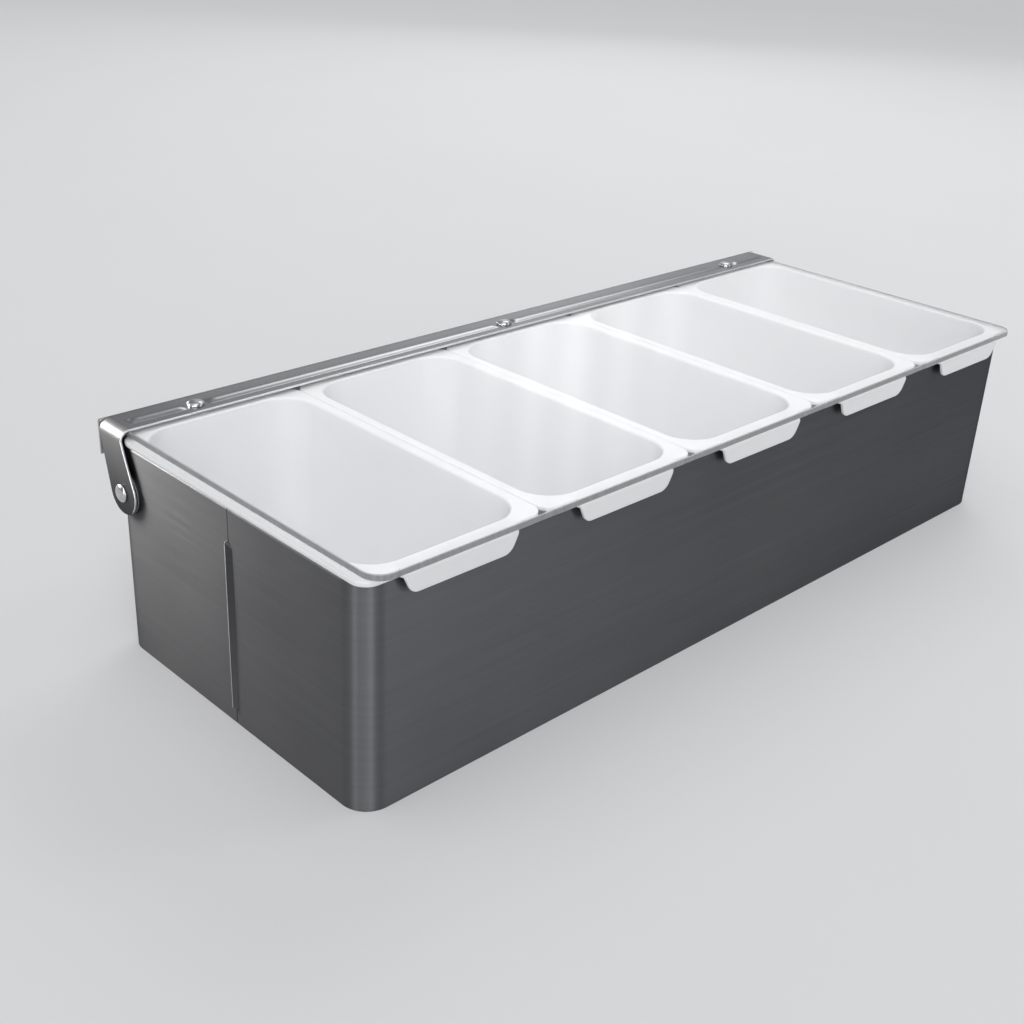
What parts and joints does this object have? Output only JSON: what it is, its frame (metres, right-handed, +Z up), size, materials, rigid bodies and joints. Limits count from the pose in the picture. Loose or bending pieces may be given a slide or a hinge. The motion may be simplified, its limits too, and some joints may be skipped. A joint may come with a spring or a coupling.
{
  "type": "condiment caddy",
  "caption": "Bar-top condiment caddy: a folded steel box holds a row of lift-out plastic tubs under one clear lid that swings back on a riveted steel hinge strip.",
  "frame": {"origin": "centre of the flat underside of the box, which is the centre of the box's footprint", "axes": "+X along the length, to the right seen from the front; +Y from the finger-tab front to the hinge at the back; +Z up"},
  "size_m": [0.3804, 0.1518, 0.0902],
  "materials": {
    "shell_steel": "dark horizontally brushed stainless sheet",
    "pan_steel": "mill finish stainless sheet",
    "strip_steel": "satin stainless sheet, brushed along its length",
    "pad_steel": "satin stainless",
    "rivet_steel": "bright domed heads",
    "burr_steel": "plain stainless washer",
    "clear_sheet": "clear polycarbonate sheet with polished edges",
    "white_plastic": "satin white moulded polypropylene"
  },
  "bodies": {
    "base": {"body_shell": "shell_steel", "bottom_pan": "pan_steel", "left_pivot_pad": "pad_steel", "right_pivot_pad": "pad_steel", "left_pivot_rivet": "rivet_steel", "right_pivot_rivet": "rivet_steel", "left_rivet_burr": "burr_steel", "right_rivet_burr": "burr_steel"},
    "lid": {"hinge_strip": "strip_steel", "lid_panel": "clear_sheet", "lid_rivet_left": "rivet_steel", "lid_rivet_centre": "rivet_steel", "lid_rivet_right": "rivet_steel"},
    "insert_1": {"insert_1": "white_plastic"},
    "insert_2": {"insert_2": "white_plastic"},
    "insert_3": {"insert_3": "white_plastic"},
    "insert_4": {"insert_4": "white_plastic"},
    "insert_5": {"insert_5": "white_plastic"}
  },
  "joints": [
    {"name": "lid_hinge", "type": "hinge", "parent": "base", "child": "lid", "pos_m": [0, 0.061, 0.06505], "axis": [-1, 0, 0], "range_deg": [0, 88]},
    {"name": "insert_1_lift", "type": "slide", "parent": "base", "child": "insert_1", "axis": [0, 0, 1], "range_m": [0, 0.0005]},
    {"name": "insert_2_lift", "type": "slide", "parent": "base", "child": "insert_2", "axis": [0, 0, 1], "range_m": [0, 0.0005]},
    {"name": "insert_3_lift", "type": "slide", "parent": "base", "child": "insert_3", "axis": [0, 0, 1], "range_m": [0, 0.0005]},
    {"name": "insert_4_lift", "type": "slide", "parent": "base", "child": "insert_4", "axis": [0, 0, 1], "range_m": [0, 0.0005]},
    {"name": "insert_5_lift", "type": "slide", "parent": "base", "child": "insert_5", "axis": [0, 0, 1], "range_m": [0, 0.0005]}
  ]
}
